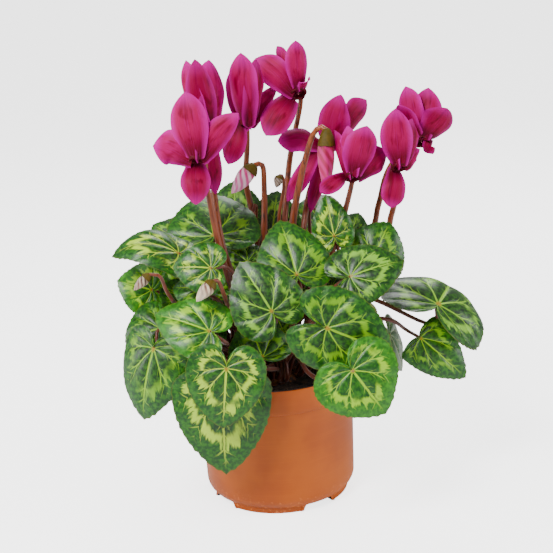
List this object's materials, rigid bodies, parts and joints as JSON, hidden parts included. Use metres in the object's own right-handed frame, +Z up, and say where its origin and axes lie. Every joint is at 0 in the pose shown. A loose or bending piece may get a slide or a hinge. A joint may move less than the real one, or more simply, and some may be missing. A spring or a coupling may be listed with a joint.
{
  "type": "potted cyclamen",
  "caption": "Cyclamen in full flower: marbled heart-shaped leaves round a tuber, nodding magenta flowers on tall stems, in a round clay-coloured plastic pot.",
  "frame": {"origin": "centre of the pot's flat underside, on the surface that the pot stands on", "axes": "+Z up along the pot's axis, -Y the front of the plant, +X to its right seen from the front"},
  "size_m": [0.2509, 0.2015, 0.3181],
  "materials": {
    "pot_plastic": "clay-orange moulded plastic with a soft sheen, black on the inside",
    "compost": "dark crumbly peat compost",
    "tuber_skin": "rough brown skin",
    "leaf": "satin green blade with a pale silver marbling and pale veins",
    "flower_stem": "smooth red-brown stem",
    "petal": "satin magenta petal with fine streaks, crimson at its base",
    "bud": "pale pink furled bud on a brown stem"
  },
  "bodies": {
    "root": {"bud_1": "bud", "bud_2": "bud", "bud_3": "bud", "bud_4": "bud", "bud_5": "bud", "flower_1_petals": "petal", "flower_1_stem": "flower_stem", "flower_2_petals": "petal", "flower_2_stem": "flower_stem", "flower_3_petals": "petal", "flower_3_stem": "flower_stem", "flower_4_petals": "petal", "flower_4_stem": "flower_stem", "flower_5_petals": "petal", "flower_5_stem": "flower_stem", "flower_6_petals": "petal", "flower_6_stem": "flower_stem", "flower_7_petals": "petal", "flower_7_stem": "flower_stem", "flower_8_petals": "petal", "flower_8_stem": "flower_stem", "leaf_01": "leaf", "leaf_02": "leaf", "leaf_03": "leaf", "leaf_04": "leaf", "leaf_05": "leaf", "leaf_06": "leaf", "leaf_07": "leaf", "leaf_08": "leaf", "leaf_09": "leaf", "leaf_10": "leaf", "leaf_11": "leaf", "leaf_12": "leaf", "leaf_13": "leaf", "leaf_14": "leaf", "leaf_15": "leaf", "leaf_16": "leaf", "leaf_17": "leaf", "leaf_18": "leaf", "leaf_19": "leaf", "leaf_20": "leaf", "leaf_21": "leaf", "leaf_22": "leaf", "leaf_23": "leaf", "leaf_24": "leaf", "leaf_25": "leaf", "leaf_26": "leaf", "leaf_27": "leaf", "leaf_28": "leaf", "leaf_29": "leaf", "leaf_30": "leaf", "leaf_31": "leaf", "leaf_32": "leaf", "leaf_33": "leaf", "leaf_34": "leaf", "leaf_35": "leaf", "leaf_36": "leaf", "pot": "pot_plastic", "soil": "compost", "tuber": "tuber_skin"}
  },
  "joints": []
}
